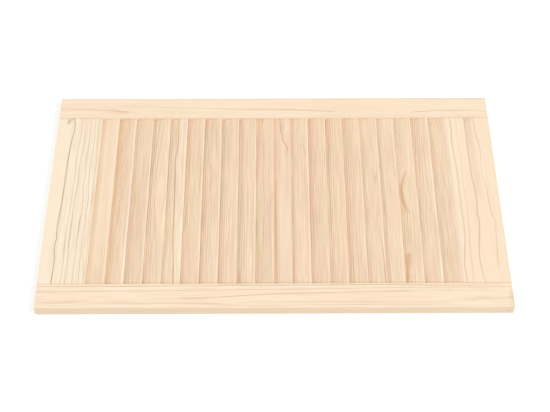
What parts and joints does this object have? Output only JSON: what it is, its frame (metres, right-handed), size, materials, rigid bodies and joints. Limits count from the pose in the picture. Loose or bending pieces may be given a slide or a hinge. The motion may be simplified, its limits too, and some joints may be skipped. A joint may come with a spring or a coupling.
{
  "type": "louvred cabinet door",
  "caption": "Flat pine cabinet door: stiles and rails frame a full panel of fixed, tilted, overlapping louvre slats that hide the inside and let air through.",
  "frame": {"origin": "middle of the back face of the door, which lies on its back", "axes": "+X runs down the hung door from the top rail to the bottom rail, +Y from the left stile to the right stile as seen from the front, +Z out of the front face"},
  "size_m": [0.69, 0.394, 0.018],
  "materials": {
    "frame_pine": "planed and sanded, uncoated",
    "slat_pine": "planed and sanded, uncoated",
    "dowel_beech": "turned and fluted"
  },
  "bodies": {
    "root": {"left_stile": "frame_pine", "right_stile": "frame_pine", "top_rail": "frame_pine", "bottom_rail": "frame_pine", "louvre_slat_01": "slat_pine", "louvre_slat_02": "slat_pine", "louvre_slat_03": "slat_pine", "louvre_slat_04": "slat_pine", "louvre_slat_05": "slat_pine", "louvre_slat_06": "slat_pine", "louvre_slat_07": "slat_pine", "louvre_slat_08": "slat_pine", "louvre_slat_09": "slat_pine", "louvre_slat_10": "slat_pine", "louvre_slat_11": "slat_pine", "louvre_slat_12": "slat_pine", "louvre_slat_13": "slat_pine", "louvre_slat_14": "slat_pine", "louvre_slat_15": "slat_pine", "louvre_slat_16": "slat_pine", "louvre_slat_17": "slat_pine", "louvre_slat_18": "slat_pine", "louvre_slat_19": "slat_pine", "louvre_slat_20": "slat_pine", "rail_dowels": "dowel_beech"}
  },
  "joints": []
}
